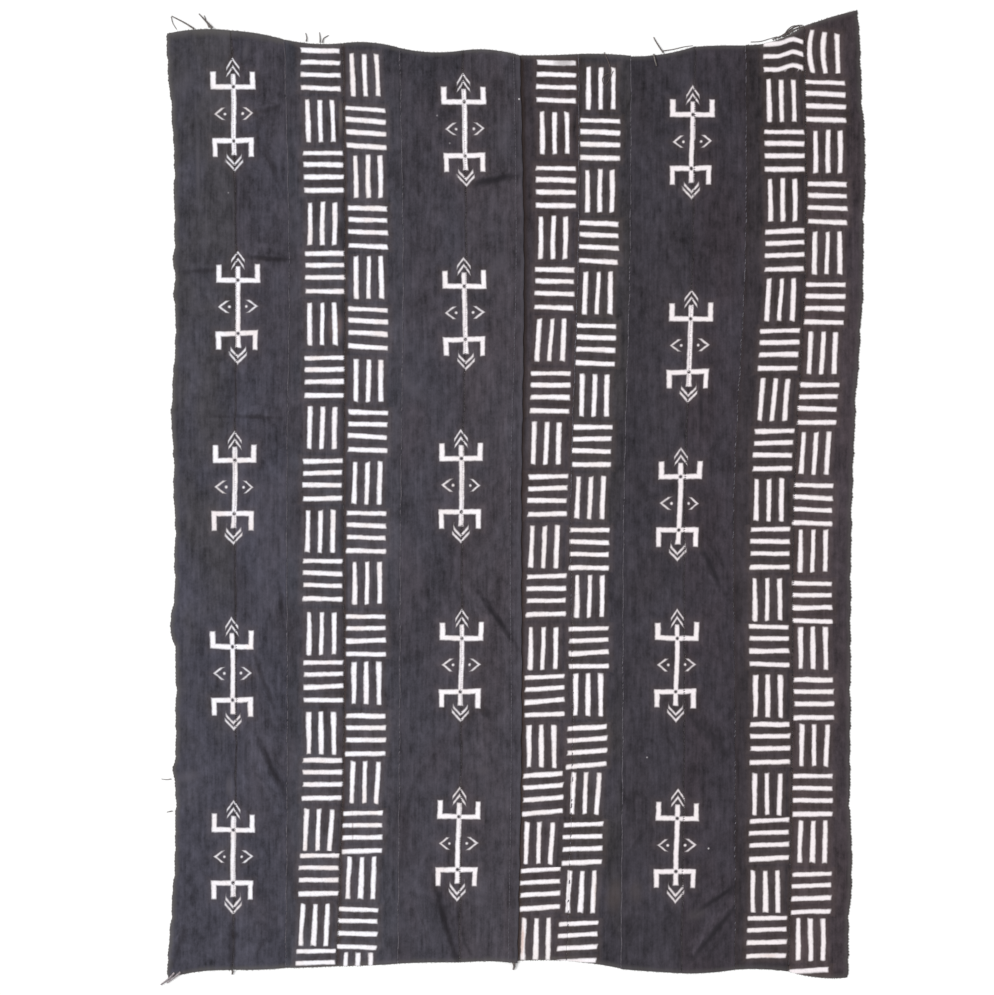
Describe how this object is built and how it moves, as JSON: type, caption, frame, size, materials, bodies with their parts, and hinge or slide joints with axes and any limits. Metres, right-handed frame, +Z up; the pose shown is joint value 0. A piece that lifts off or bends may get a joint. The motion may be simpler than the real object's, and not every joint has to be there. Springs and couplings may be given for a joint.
{
  "type": "bogolan mud cloth",
  "caption": "Flat hand-woven cotton cloth of narrow strips sewn side by side, mud-dyed dark with pale bar blocks and forked figures, for use as a throw or wrapper.",
  "frame": {"origin": "centre of the cloth's outline, on the surface that it lies on", "axes": "+X across the strips, +Y along the warp towards the frayed end, +Z up out of the painted face"},
  "size_m": [1.1697, 1.6182, 0.0065],
  "materials": {
    "figure_strip": "matt handspun cotton, bluish charcoal mud dye",
    "block_strip": "matt handspun cotton, brown-black mud dye"
  },
  "bodies": {
    "root": {"strip_01": "figure_strip", "strip_02": "figure_strip", "strip_03": "block_strip", "strip_04": "block_strip", "strip_05": "figure_strip", "strip_06": "figure_strip", "strip_07": "block_strip", "strip_08": "block_strip", "strip_09": "figure_strip", "strip_10": "figure_strip", "strip_11": "block_strip", "strip_12": "block_strip"}
  },
  "joints": []
}
